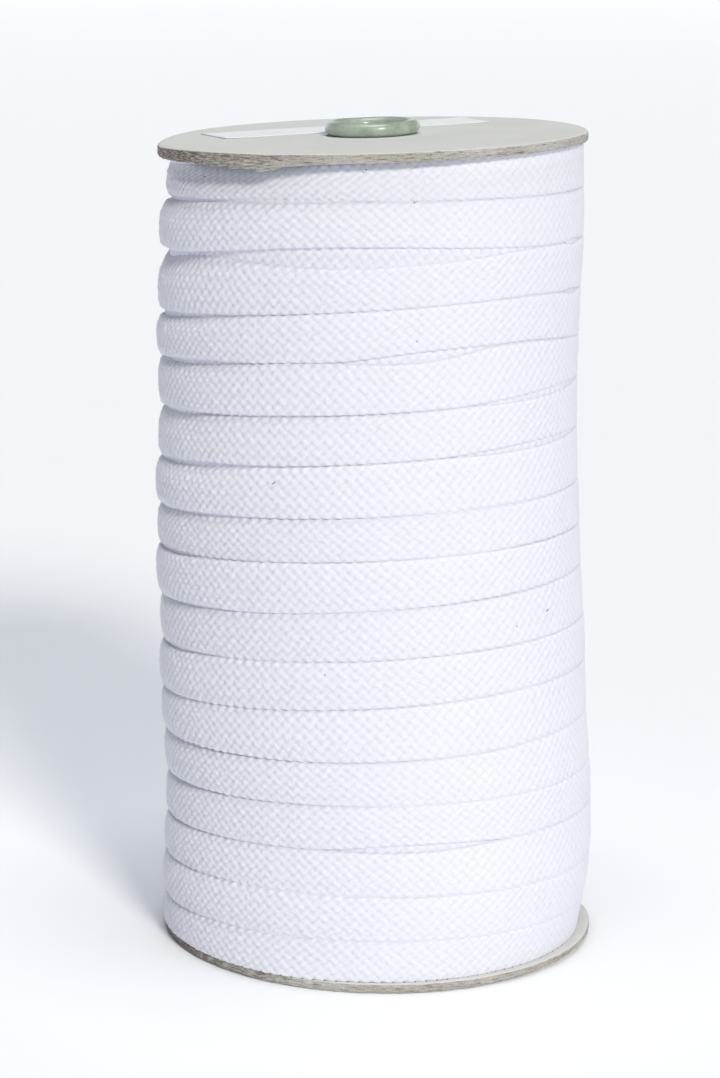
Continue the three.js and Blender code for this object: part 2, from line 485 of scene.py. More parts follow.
def mesh_object(name, points, faces, uv=None):
    """An object of points and of faces, which are arrays of corners, one array for each face size."""
    mesh = bpy.data.meshes.new(name)
    corners = np.concatenate([f.ravel() for f in faces])
    sizes = np.concatenate([np.full(len(f), f.shape[1]) for f in faces])
    mesh.vertices.add(len(points))
    mesh.vertices.foreach_set("co", np.ascontiguousarray(points, dtype=np.float32).ravel())
    mesh.loops.add(len(corners))
    mesh.loops.foreach_set("vertex_index", corners.astype(np.int32))
    mesh.polygons.add(len(sizes))
    starts = np.concatenate([[0], np.cumsum(sizes)[:-1]])
    mesh.polygons.foreach_set("loop_start", starts.astype(np.int32))
    mesh.polygons.foreach_set("use_smooth", np.ones(len(sizes), dtype=bool))
    mesh.update(calc_edges=True)
    if uv is not None:
        layer = mesh.uv_layers.new(name="UVMap")
        layer.data.foreach_set("uv", uv[corners].astype(np.float32).ravel())
    mesh.validate()
    piece = bpy.data.objects.new(name, mesh)
    bpy.context.scene.collection.objects.link(piece)
    return piece


def grid_faces(rows, columns, wrap_rows=False, wrap_columns=False):
    """Corners of the four-sided faces of a grid of points, counted row after row."""
    row = np.arange(rows if wrap_rows else rows - 1)
    column = np.arange(columns if wrap_columns else columns - 1)
    r, c = np.meshgrid(row, column, indexing="ij")
    up, right = (r + 1) % rows, (c + 1) % columns
    corners = (r * columns + c, r * columns + right, up * columns + right, up * columns + c)
    return np.stack([k.ravel() for k in corners], axis=1)


def keep_sharp(piece, count):
    """Shades a piece's last faces flat, so that they have sharp edges."""
    faces = len(piece.data.polygons)
    piece.data.polygons.foreach_set("use_smooth", np.arange(faces) < faces - count)


def finish_piece(piece, material, slot, *replaced):
    """Gives a piece its material, hangs it under the body's empty and hides the solids that it replaces."""
    piece.data.materials.append(material)
    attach(piece, BODY)
    if replaced:
        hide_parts(*replaced)


class Nodes:
    """Short hand for building a material's nodes."""

    def __init__(self, name):
        self.material = bpy.data.materials.new(name)
        self.material.use_nodes = True
        self.tree = self.material.node_tree
        self.shader = self.tree.nodes["Principled BSDF"]

    def add(self, kind, inputs=None, **settings):
        node = self.tree.nodes.new(kind)
        for key, value in settings.items():
            setattr(node, key, value)
        for key, value in (inputs or {}).items():
            self.put(node.inputs[key], value)
        return node

    def put(self, socket, value):
        if isinstance(value, bpy.types.NodeSocket):
            self.tree.links.new(value, socket)
        else:
            socket.default_value = value

    def math(self, operation, a, b=0.0, clamp=False):
        node = self.add("ShaderNodeMath", {0: a, 1: b}, operation=operation, use_clamp=clamp)
        return node.outputs[0]

    def weigh(self, *parts):
        """Sum of values, each times its weight."""
        total = None
        for value, weight in parts:
            part = self.math("MULTIPLY", value, weight)
            total = part if total is None else self.math("ADD", total, part)
        return total

    def place(self):
        return self.add("ShaderNodeTexCoord").outputs["Object"]

    def uv(self):
        return self.add("ShaderNodeUVMap", uv_map="UVMap").outputs[0]

    def arch(self, off):
        """1 in the middle of a strand and 0 at its sides, from how far off the middle it is."""
        return self.math("SUBTRACT", 1.0, self.math("POWER", self.math("MULTIPLY", off, 2.0), 2.0))

    def mix(self, share, a, b):
        node = self.add("ShaderNodeMix", data_type="RGBA")
        self.put(node.inputs[0], share)
        for socket, value in ((node.inputs[6], a), (node.inputs[7], b)):
            self.put(socket, value if isinstance(value, bpy.types.NodeSocket) else (*value, 1.0))
        return node.outputs[2]

    def noise(self, vector, scale, detail=3.0, roughness=0.55):
        node = self.add(
            "ShaderNodeTexNoise",
            {"Vector": vector, "Scale": scale, "Detail": detail, "Roughness": roughness},
        )
        return node.outputs[0]

    def stretch(self, vector, scale):
        node = self.add("ShaderNodeMapping", {"Vector": vector, "Scale": scale})
        return node.outputs[0]

    def ramp(self, value, low, high):
        node = self.add("ShaderNodeMapRange", {"Value": value, "From Min": low, "From Max": high})
        return node.outputs[0]

    def bump(self, height, strength, distance, normal=None):
        node = self.add(
            "ShaderNodeBump", {"Height": height, "Strength": strength, "Distance": distance}
        )
        if normal is not None:
            self.put(node.inputs["Normal"], normal)
        return node.outputs[0]

    def surface(self, **inputs):
        for key, value in inputs.items():
            self.put(self.shader.inputs[key.replace("_", " ").title()], value)
        return self.material


def yarn_material(cord):
    """Braided yarn, painted darker and bluer between the strands as painted shade of the creases. The
    mesh's UV counts plaits along one family of strands and along the other.
    """
    nodes = Nodes(YARN)
    uv, place = nodes.uv(), nodes.place()
    checks = nodes.add("ShaderNodeTexChecker", {"Vector": uv, "Scale": 1.0}).outputs["Fac"]
    count = nodes.add("ShaderNodeSeparateXYZ", {"Vector": uv}).outputs
    past = [nodes.math("SUBTRACT", nodes.math("FRACT", plaits), 0.5) for plaits in count[:2]]
    off = [nodes.math("ABSOLUTE", middle) for middle in past]
    side = nodes.add("ShaderNodeMix", {0: checks, 2: off[0], 3: off[1]}).outputs[0]
    end = nodes.add("ShaderNodeMix", {0: checks, 2: off[1], 3: off[0]}).outputs[0]
    crest = nodes.weigh((nodes.arch(side), 0.75), (nodes.arch(end), 0.25))
    lengthwise = nodes.noise(nodes.stretch(uv, (7.0, 1.3, 1.0)), 1.0, 2.0)
    crosswise = nodes.noise(nodes.stretch(uv, (1.3, 7.0, 1.0)), 1.0, 2.0)
    fibre = nodes.add("ShaderNodeMix", {0: checks, 2: lengthwise, 3: crosswise}).outputs[0]
    fuzz = nodes.noise(place, 4200.0, 2.0, 0.7)
    cloud = nodes.noise(place, 30.0, 3.0)
    shade = nodes.weigh((crest, 0.75), (fibre, 0.5), (fuzz, 0.2), (cloud, 0.3))
    # The yarn takes the hollow shade colour at the sides and ends of each strand, as painted shade of the
    # creases; fibre, fuzz and cloud add the yarn's own uneven tone
    tint = nodes.mix(nodes.ramp(shade, 0.30, 1.0), tuple(cord.painted_hollow_shade), tuple(cord.colour))
    relief = nodes.bump(crest, 0.5, 0.00025)
    relief = nodes.bump(fibre, 0.7, 0.00025, relief)
    relief = nodes.bump(fuzz, 0.2, 0.0001, relief)
    nodes.shader.inputs["Sheen Weight"].default_value = 0.12
    nodes.shader.inputs["Sheen Roughness"].default_value = 0.5
    nodes.shader.inputs["Specular IOR Level"].default_value = 0.25
    return nodes.surface(base_color=tint, roughness=0.88, normal=relief)


def board_face_material(board):
    """Pressed face of grey chipboard: fine fibres, pale flecks and a faint mottle."""
    nodes = Nodes("chipboard_face")
    place = nodes.place()
    fibres = nodes.noise(nodes.stretch(place, (900.0, 2600.0, 900.0)), 1.0, 4.0, 0.65)
    mottle = nodes.noise(place, 55.0, 4.0)
    grain = nodes.noise(place, 1500.0, 3.0, 0.7)
    shade = nodes.weigh((fibres, 0.5), (mottle, 0.4), (grain, 0.3))
    face = tuple(board.face)
    dark = tuple(0.86 * c for c in face)
    tint = nodes.mix(nodes.ramp(shade, 0.42, 0.78), dark, face)
    relief = nodes.bump(fibres, 0.25, 0.00008)
    return nodes.surface(base_color=tint, roughness=0.82, normal=relief)


def board_edge_material(board):
    """Cut edge of grey chipboard. Its UV runs in millimetres, round the edge and up it."""
    nodes = Nodes("chipboard_edge")
    uv = nodes.uv()
    plies = nodes.noise(nodes.stretch(uv, (0.28, 2.5, 1.0)), 1.0, 4.0, 0.6)
    threads = nodes.noise(nodes.stretch(uv, (0.5, 2.8, 1.0)), 1.0, 4.0, 0.7)
    nap = nodes.noise(nodes.stretch(uv, (2.2, 2.6, 1.0)), 1.0, 3.0, 0.75)
    patches = nodes.noise(nodes.stretch(uv, (0.05, 0.25, 1.0)), 1.0, 2.0)
    along_edge = nodes.add("ShaderNodeSeparateXYZ", {"Vector": uv}).outputs[0]
    # Towards the spool's left the edge is painted darker and browner: partly its brown stain, partly
    # painted shade of the side that faces away from the key light. The splits between the plies show more
    # there too.
    from_front, to_back = nodes.ramp(along_edge, -12.0, -55.0), nodes.ramp(along_edge, -160.0, -105.0)
    left_stain_and_painted_shade = nodes.math("MULTIPLY", from_front, to_back)
    shade = nodes.weigh((threads, 0.6), (nap, 0.45))
    dark, pale = (tuple(factor * c for c in board.edge) for factor in (0.5, 1.4))
    tint = nodes.mix(nodes.ramp(shade, 0.42, 0.66), dark, pale)
    patch = nodes.mix(nodes.ramp(patches, 0.40, 0.62), (0.37, 0.31, 0.24), (0.56, 0.56, 0.54))
    tint = nodes.mix(0.30, tint, patch)
    stain_and_painted_shade = nodes.math("MULTIPLY", left_stain_and_painted_shade, nodes.ramp(threads, 0.58, 0.42))
    tint = nodes.mix(nodes.math("MULTIPLY", stain_and_painted_shade, 0.88), tint, (0.12, 0.08, 0.05))
    split = nodes.math("ADD", nodes.math("MULTIPLY", left_stain_and_painted_shade, 0.07), plies)
    split = nodes.math("MULTIPLY", nodes.ramp(split, 0.58, 0.67), 0.75)
    tint = nodes.mix(split, tint, tuple(board.streak))
    relief = nodes.bump(nodes.math("SUBTRACT", shade, split), 0.8, 0.0003)
    return nodes.surface(base_color=tint, roughness=0.92, normal=relief)


def core_material(core):
    """Glossy plastic with soft darker clouds and a few fine scuffs."""
    nodes = Nodes("sage_plastic")
    place = nodes.place()
    cloud = nodes.noise(place, 260.0, 4.0, 0.6)
    grain = nodes.noise(place, 1900.0, 2.0)
    scuffs = nodes.noise(nodes.stretch(place, (300.0, 300.0, 2400.0)), 1.0, 2.0)
    tint = nodes.mix(nodes.ramp(cloud, 0.42, 0.66), tuple(core.colour), tuple(core.dark))
    flecks = nodes.math("MULTIPLY", nodes.ramp(grain, 0.45, 0.75), 0.25)
    tint = nodes.mix(flecks, tint, (0.5, 0.57, 0.5))
    rough = nodes.math("ADD", nodes.math("MULTIPLY", scuffs, 0.22), core.roughness - 0.08)
    relief = nodes.bump(grain, 0.08, 0.00006)
    nodes.shader.inputs["Coat Weight"].default_value = 0.2
    nodes.shader.inputs["Coat Roughness"].default_value = 0.12
    return nodes.surface(base_color=tint, roughness=rough, normal=relief)


def paper_material(label):
    """Smooth white paper with a faint tooth."""
    nodes = Nodes("label_paper")
    place = nodes.place()
    tooth = nodes.noise(place, 2600.0, 3.0, 0.7)
    cloud = nodes.noise(place, 90.0, 3.0)
    shade = nodes.weigh((tooth, 0.5), (cloud, 0.5))
    paper = tuple(label.colour)
    tint = nodes.mix(nodes.ramp(shade, 0.35, 0.65), tuple(0.93 * c for c in paper), paper)
    relief = nodes.bump(tooth, 0.15, 0.00005)
    return nodes.surface(base_color=tint, roughness=0.6, normal=relief)


def turn_section(cord):
    """One turn's section from the bottom of its lower side to that of its upper side.

    Returns, for each row, the share of the width, the depth, the outward direction as (radial,
    upward), and the distance from the middle of the face, all but the share in millimetres.
    """
    bend = np.linspace(0, np.pi / 2, 16)
    curve = cord.round * np.stack([1 - np.cos(bend), np.sin(bend) - 1])
    across = np.concatenate([[0.0], curve[0], cord.width - curve[0][::-1], [cord.width]])
    depth = np.concatenate([[-cord.depth], curve[1], curve[1][::-1], [-cord.depth]])
    length = np.concatenate([[0.0], np.cumsum(np.hypot(np.diff(across), np.diff(depth)))])
    pitch = cord.plait / cord.steps
    reach = int((length[-1] / 2 - cord.depth + 2 * cord.round) / pitch) * pitch
    middle = np.arange(-reach, reach + pitch / 2, pitch)
    at = np.concatenate([[-length[-1] / 2], middle, [length[-1] / 2]])
    across, depth = (np.interp(at + length[-1] / 2, length, column) for column in (across, depth))
    slope = np.stack([np.gradient(across), -np.gradient(depth)])
    slope[:, 0], slope[:, -1] = (0, -1), (0, 1)
    return across / cord.width, depth, slope / np.hypot(*slope), at


def braid_height(s, t, cord):
    """Rise of a plain diamond braid at plait coordinates s along and t across the cord."""
    a, b = s + t, s - t
    cell_a, cell_b = np.floor(a), np.floor(b)
    u, v = a - cell_a - 0.5, b - cell_b - 0.5
    sign = 1 - 2 * np.mod(cell_a + cell_b, 2)
    # A fixed uneven number for each crossing, from 0 to 1
    jitter = np.mod(np.sin(cell_a * 12.9898 + cell_b * 78.233) * 43758.5453, 1.0)
    slender = 2.35  # a strand is as wide as a plait over this, twice

    def strand(off):
        return cord.strand * np.sqrt(np.clip(1 - (slender * off) ** 2, 0, 1))

    first = strand(u) + cord.weave * sign * np.cos(np.pi * v)
    second = strand(v) - cord.weave * sign * np.cos(np.pi * u)
    return np.maximum(first, second) * (0.76 + 0.48 * jitter)


def plait_coordinates(s, t):
    """Uneven plait coordinates, because no braid lies quite straight."""
    slip = 0.09 * wander(t + 0.03 * s, 13, 5, 3.3)
    onward = 0.16 * wander(s, 11, 8, 31.0) + slip
    return s + onward, t + 0.10 * wander(s, 12, 8, 19.0)


def plait_uv(s, t):
    """UV that counts plaits along one family of strands and along the other."""
    return np.stack(np.broadcast_arrays(s + t, s - t), axis=-1)


def stitches_per_turn(cord):
    return round(2 * np.pi * PACK["radius"].mean() / cord.stitch)


def stand_off(turn, z, out):
    """Points that stand out from the pack's surface at a turn and a height of the upright spool."""
    level = z / PACK_STEP
    points = round_axis(along(PACK["radius"], level) + out, 2 * np.pi * turn, z)
    points[..., 0] += along(PACK["offset"], level)
    points[..., 1] += along(PACK["back"], level)
    return points


def between_discs(z):
    """Heights kept just clear of the two discs."""
    return np.clip(z, BOARD + INSET, HEIGHT - BOARD - INSET)


def seam_normals(points):
    """Normals at a piece's two ends as if its neighbours were one piece with it.

    The grid of points has one column of each neighbour at its ends. Elsewhere the normals are zero.
    """
    laid = lean(points)
    normals = np.cross(np.gradient(laid, axis=1), np.gradient(laid, axis=0))
    normals /= np.linalg.norm(normals, axis=-1, keepdims=True)
    normals[:, 2:-2] = 0
    return normals[:, 1:-1].reshape(-1, 3)


def wound_turns(cord, first, last):
    """Points, faces, UV and seam normals of the outer layer from one turn to another."""
    share, depth, outward, at = (column[..., None] for column in turn_section(cord))
    per_turn = stitches_per_turn(cord)
    columns = int(round((last - first) * per_turn * cord.steps)) + 1
    step = (last - first) / (columns - 1)
    turn = np.concatenate([[first - step], np.linspace(first, last, columns), [last + step]])[None, :]
    left = leftness(turn)
    stray = 1.5 * wander(turn, 71, 9, 0.6)
    loops = cord.scallop / 2 * np.sin(2 * np.pi * turn * per_turn + stray)
    low = edge_height(turn) + joint_width(turn) / 2 + loops
    high = edge_height(turn + 1) - joint_width(turn + 1) / 2 - loops
    s, t = plait_coordinates(turn * per_turn, at / cord.plait)
    rise = braid_height(s, t, cord) * between(0.42, 1.22, left)
    z = low + (high - low) * share + 0.6 * rise * outward[1]
    out = along(TURNS["bulge"], turn) * left + depth + rise * outward[0]
    out -= cord.crown * between(0.06, 1.0, left**2) * np.abs(2 * share - 1) ** 3
    folded = fold_depth(turn + 1)
    margin = 0.34 + 0.07 * folded
    out -= folded * rising(share, 1 - margin, 1) ** 1.3
    out += 0.12 * wander(turn, 21, 7, 1.3)
    points = stand_off(turn, z, out)
    normals = seam_normals(points)
    rows = len(share)
    faces = [grid_faces(rows, columns, wrap_rows=True)]
    ends = np.arange(rows) * columns
    faces.append(np.stack([ends, ends[::-1] + columns - 1]))
    uv = plait_uv(s, t)[:, 1:-1].reshape(-1, 2)
    return points[:, 1:-1].reshape(-1, 3), faces, uv, normals


def trim_flat(piece, height, keep_above):
    """Cuts a piece level at a height of the upright spool, in millimetres, and closes the cut."""
    mesh = bmesh.new()
    mesh.from_mesh(piece.data)
    everything = mesh.verts[:] + mesh.edges[:] + mesh.faces[:]
    cut = bmesh.ops.bisect_plane(
        mesh,
        geom=everything,
        plane_co=(0, 0, height),
        plane_no=(0, 0, 1),
        clear_inner=keep_above,
        clear_outer=not keep_above,
    )
    edges = [e for e in cut["geom_cut"] if isinstance(e, bmesh.types.BMEdge) and e.is_valid]
    bmesh.ops.triangle_fill(mesh, use_beauty=False, edges=[e for e in edges if e.is_boundary])
    mesh.to_mesh(piece.data)
    mesh.free()


def foot_radius(around):
    """Distance of the pack's foot from the axis, at angles in radians."""
    foot = stand_off(around / (2 * np.pi), BOARD + 0 * around, 0 * around)
    return np.hypot(foot[..., 0], foot[..., 1])


def hang_over_base(points):
    """Brings the lowest turn out to the base's edge at the front and left."""
    around = np.arctan2(points[..., 0], -points[..., 1])
    side = np.degrees(around)
    reach = rising(side, *PULLED_BACK) * rising(side, *PULLED_FRONT)
    short = np.clip(PULLED_RADIUS - foot_radius(around), 0, None)
    near = rising(points[..., 2], BOARD + PULLED_HEIGHT, BOARD) ** 1.5
    points[..., :2] *= 1 + (short * reach * near / BASE_RADIUS)[..., None]
    return points


def lean_piece(piece, bend=None):
    """Leans a piece that was built upright in millimetres, after it is bent."""
    count = len(piece.data.vertices)
    points = np.empty(count * 3, dtype=np.float32)
    piece.data.vertices.foreach_get("co", points)
    points = points.reshape(-1, 3).astype(float)
    points = lean(bend(points) if bend else points)
    piece.data.vertices.foreach_set("co", points.astype(np.float32).ravel())
    piece.data.update()


class SPOOL_OT_wind_cord(bpy.types.Operator):
    """Wind the outer layer of flat braided cord between the discs"""

    bl_idname = "spool.wind_cord"
    bl_label = "Wind Cord"

    def execute(self, context):
        cord = context.scene.spool.cord
        yarn = yarn_material(cord)
        for number, (first, last) in enumerate(zip(PIECE_ENDS, PIECE_ENDS[1:]), start=1):
            points, faces, uv, normals = wound_turns(cord, first, last)
            piece = mesh_object(f"cord_turns_{number}", points, faces, uv)
            held = piece.data.attributes.new("seam_normal", "FLOAT_VECTOR", "POINT")
            held.data.foreach_set("vector", normals.astype(np.float32).ravel())
            keep_sharp(piece, 2)
            if number == 1:
                trim_flat(piece, BOARD + TRIM, keep_above=True)
            if number == len(PIECE_ENDS) - 1:
                trim_flat(piece, HEIGHT - BOARD - TRIM, keep_above=False)
            lean_piece(piece, hang_over_base if number == 1 else None)
            self.join_light(piece.data)
            finish_piece(piece, yarn, "cord", "cord_winding")
        return {"FINISHED"}

    def join_light(self, mesh):
        """Sets the normals that a piece holds for its ends, so that no seam shows beside its neighbours."""
        held = mesh.attributes["seam_normal"]
        normals = np.empty(len(mesh.vertices) * 3, dtype=np.float32)
        held.data.foreach_get("vector", normals)
        mesh.attributes.remove(held)
        mesh.normals_split_custom_set_from_vertices(normals.reshape(-1, 3))


class SPOOL_OT_lay_under_layer(bpy.types.Operator):
    """Lay the cord of the layer beneath, which shows where two turns stand apart"""

    bl_idname = "spool.lay_under_layer"
    bl_label = "Lay Under Layer"

    def execute(self, context):
        cord = context.scene.spool.cord
        sheets = [self.joint_bed(cord)]
        for joint in OPEN_JOINTS:
            sheets.append(self.open_patch(cord, *joint))
        points, faces, uv, count = [], [], [], 0
        for grid, plait in sheets:
            points.append(grid.reshape(-1, 3))
            faces.append(grid_faces(*grid.shape[:2]) + count)
            uv.append(plait.reshape(-1, 2))
            count += grid[..., 0].size
        piece = mesh_object("cord_under_layer", np.concatenate(points), faces, np.concatenate(uv))
        lean_piece(piece)
        finish_piece(piece, bpy.data.materials[YARN], "cord", "cord_winding")
        return {"FINISHED"}

    def joint_bed(self, cord):
        """The strip at the bottom of the winding joint. It sinks where the joint opens."""
        last, steps_per_turn = len(TURNS) - 1, 240
        turn = np.linspace(-0.5, last, last * steps_per_turn)[None, :]
        width = joint_width(turn)
        across = np.array([-1.0, 0.0, 1.0])[:, None] * (0.5 + 0.25 * width)
        z = between_discs(edge_height(turn) + across)
        left = leftness(turn)
        sunk = between(0.55, 1.30, left) * np.clip(width / 0.32, 0.2, 1)
        sunk += np.clip(width - 0.9, 0, 1.2) * between(0.3, 1.1, left) + fold_depth(turn)
        return stand_off(turn, z, -sunk), plait_uv(turn * stitches_per_turn(cord), z / cord.plait)

    def open_patch(self, cord, below, angle, reach, widest):
        """Cord that shows through one open joint. Its plait runs on a slant to the cord above."""
        cell, wide, slant = 0.5, widest + 2.0, 0.06
        columns = int(2 * reach / FULL_CIRCLE * 2 * np.pi * BASE_RADIUS / cell)
        rows = int(wide / cell) + 2
        turn = below + (angle + np.linspace(-reach, reach, columns)[None, :]) / FULL_CIRCLE
        z = between_discs(edge_height(turn) + np.linspace(-0.5, 0.5, rows)[:, None] * wide)
        run = 2 * np.pi * turn * BASE_RADIUS
        s, t = run / cord.stitch, (z + slant * run) / cord.plait
        sunk = between(0.8, 2.05, leftness(turn) ** 1.6) + 0.5 * fold_depth(turn)
        return stand_off(turn, z, braid_height(s, t, cord) - sunk), plait_uv(s, t)


def lint_and_shadow_material():
    """Brown lint with paler hairs, also used for the dark dots painted as shadows under the lowest turn's
    stitches.
    """
    nodes = Nodes("lint")
    place = nodes.place()
    hairs = nodes.noise(place, 5200.0, 3.0, 0.7)
    tint = nodes.mix(nodes.ramp(hairs, 0.40, 0.65), (0.10, 0.085, 0.09), (0.30, 0.25, 0.24))
    return nodes.surface(base_color=tint, roughness=0.95, normal=nodes.bump(hairs, 0.6, 0.0001))


class SPOOL_OT_drop_lint_and_shadows(bpy.types.Operator):
    """Drop a few short hairs of lint on the cord, and dark dots painted as shadows under the lowest turn's
    stitches
    """

    bl_idname = "spool.drop_lint"
    bl_label = "Drop Lint"

    def execute(self, context):
        spool = context.scene.spool
        around, rings = 8, 7
        high, deep, curl = 0.13, 0.11, 0.12
        turned = np.linspace(0, 2 * np.pi, around, endpoint=False)[None, :]
        bend = np.linspace(0, np.pi, rings)[:, None]
        points, faces = [], []
        for number, (angle, height, radius, length, slant) in enumerate(LINT + self.painted_stitch_shadows(spool.cord)):
            run = length / 2 * np.cos(bend)
            up = high * np.sin(bend) * np.cos(turned) + curl * (2 * run / length) ** 2
            out = deep * np.sin(bend) * np.sin(turned)
            tilt = math.radians(slant)
            side = math.radians(angle) + (run * math.cos(tilt) - up * math.sin(tilt)) / radius
            hair = round_axis(radius + out, side, height + run * math.sin(tilt) + up * math.cos(tilt))
            points.append(hair.reshape(-1, 3))
            faces.append(grid_faces(rings, around, wrap_columns=True) + number * hair[..., 0].size)
        # The lint object also holds the dark dots, painted shadows under the lowest turn's stitches
        piece = mesh_object("lint", lean(np.concatenate(points)), [np.concatenate(faces)])
        finish_piece(piece, lint_and_shadow_material(), "cord")
        return {"FINISHED"}

    def painted_stitch_shadows(self, cord):
        """Dark dots under each stitch of the lowest turn at the front, painted shadows of the gaps between
        the stitches and the base, as rows of the table.
        """
        first, last, height, thickness = -76.0, 66.0, BOARD + 0.1, 0.12
        angle = np.arange(math.radians(first), math.radians(last), cord.stitch / BASE_RADIUS)
        radius = foot_radius(angle)
        pulled = rising(np.degrees(angle), *PULLED_FRONT)
        radius += np.clip(PULLED_RADIUS - radius, 0, None) * pulled + thickness
        length = 0.48 + 0.26 * wander(angle, 61, 6, 0.9)
        return [(math.degrees(a), height, r, size, 0.0) for a, r, size in zip(angle, radius, length)]


def disc_outline(radius, under, upper):
    """Section of a disc from its hole's lower edge round to its hole's upper edge, and its cut rows."""
    bend = np.linspace(0, np.pi / 2, 5)
    # The ring close to the hole keeps the shading of the hole's wall off the disc's face
    rings = [SLEEVE, SLEEVE + 0.2, radius / 2, radius - 6, radius - 3, radius - 1.2]
    rim = radius - EASE
    lower = [(r, under) for r in rings]
    lower += [(rim + EASE * math.sin(a), under + EASE * (1 - math.cos(a))) for a in bend]
    middle = [(radius, z) for z in np.linspace(under + EASE, upper - EASE, 9)[1:-1]]
    over = [(rim + EASE * math.cos(a), upper - EASE * (1 - math.sin(a))) for a in bend]
    over += [(r, upper) for r in rings[::-1]]
    outline = np.array(lower + middle + over)
    row, last = np.arange(len(outline)), len(outline) - 1
    cut = (row > len(rings)) & (row < last - len(rings) - 2) | (row == last)
    return outline, cut


def board_disc(name, radius, under, board, seed, worn, torn=()):
    """A punched chipboard disc with a worn cut edge.

    Worn lists places where the edge droops or its lower side is rubbed away, as (angle, degrees to
    each side, droop, rubbed), and torn gives how far the lower ply hangs down.
    """
    section, cut = disc_outline(radius, under, under + BOARD)
    angle = np.linspace(-180, 180, board.sides, endpoint=False)[None, :]
    r = np.repeat(section[:, :1], board.sides, axis=1)
    z = np.repeat(section[:, 1:], board.sides, axis=1)
    share = (z - under) / BOARD
    outer = rising(r, radius - MARGIN, radius)
    on_rim = rising(r, radius - 0.7, radius - 0.35)
    for middle, reach, droop, rubbed in worn:
        here = np.cos(np.pi / 2 * np.clip((angle - middle) / reach, -1, 1)) ** 2
        z = z - droop * here * outer**2 + rubbed * here * outer**2 * (1 - share)
    r = r + outer * (0.12 * closed_wander(angle, seed, 4) + 0.06 * closed_wander(angle, seed + 1, 60))
    plies = 0.5 + 0.5 * np.sin(share * math.pi * 5 + 2 * closed_wander(angle, seed + 3, 14))
    r = r - on_rim * 0.10 * plies * np.abs(closed_wander(angle, seed + 5, 150))
    z = z + on_rim * rising(share, 0.5, 0) * 0.09 * closed_wander(angle, seed + 6, 190)
    if torn:
        drop = np.interp(angle, *zip(*torn))
        drop = drop * (1 + 0.10 * closed_wander(angle, seed + 9, 90))
        hang = rising(share, 0.7, 0) * rising(r, radius - 1.6, radius - 0.8)
        z = z - drop * hang
        r = r + 0.2 * drop * hang
    turned = np.radians(angle)
    points = round_axis(r, turned, z).reshape(-1, 3)
    faces = grid_faces(len(section), board.sides, wrap_rows=True, wrap_columns=True)
    uv = np.stack(np.broadcast_arrays(turned * radius, z), axis=-1).reshape(-1, 2)
    piece = mesh_object(name, lean(points), [faces], uv)
    piece.data.polygons.foreach_set("material_index", np.repeat(cut, board.sides).astype(np.int32))
    keep_sharp(piece, board.sides)
    return piece


class SPOOL_OT_cut_boards(bpy.types.Operator):
    """Cut the two chipboard discs, the top one with its torn lower ply"""

    bl_idname = "spool.cut_boards"
    bl_label = "Cut Boards"

    def execute(self, context):
        board = context.scene.spool.board
        face, edge = board_face_material(board), board_edge_material(board)
        base = board_disc("base_board", BASE_RADIUS, 0.0, board, 1, BASE_WORN)
        under = HEIGHT - BOARD
        top = board_disc("top_board", TOP_RADIUS, under, board, 4, TOP_WORN, TORN)
        for piece, node in ((base, "bottom_flange"), (top, "top_flange")):
            finish_piece(piece, face, "board", node)
            piece.data.materials.append(edge)
        return {"FINISHED"}


class SPOOL_OT_mould_core(bpy.types.Operator):
    """Mould the plastic core with its rolled end"""

    bl_idname = "spool.mould_core"
    bl_label = "Mould Core"

    def execute(self, context):
        core = context.scene.spool.core
        outer = BORE + CORE_WALL
        roll_radius, roll_height = BORE + ROLL, HEIGHT + REST + ROLL
        start = math.pi + math.acos((roll_radius - outer) / ROLL)
        bend = np.linspace(start, 3 * math.pi, 40)
        wall = np.linspace(0, HEIGHT - 1, 12)
        section = [(BORE, z) for z in wall[::-1]] + [(outer, z) for z in wall]
        for a in bend:
            section.append((roll_radius + ROLL * math.cos(a), roll_height + ROLL * math.sin(a)))
        section = np.array(section)
        angle = np.linspace(-180, 180, core.sides, endpoint=False)[None, :]
        r, z = section[:, :1] + 0 * angle, section[:, 1:] + 0 * angle
        raised = rising(z, HEIGHT, HEIGHT + ROLL)
        r = r + 0.06 * raised * closed_wander(angle, 31, 6)
        z = z + 0.05 * raised * closed_wander(angle, 32, 5)
        points = round_axis(r, np.radians(angle), z).reshape(-1, 3)
        faces = grid_faces(len(section), core.sides, wrap_rows=True, wrap_columns=True)
        piece = mesh_object("rolled_core", lean(points), [faces])
        finish_piece(piece, core_material(core), "core_plastic", "core")
        return {"FINISHED"}


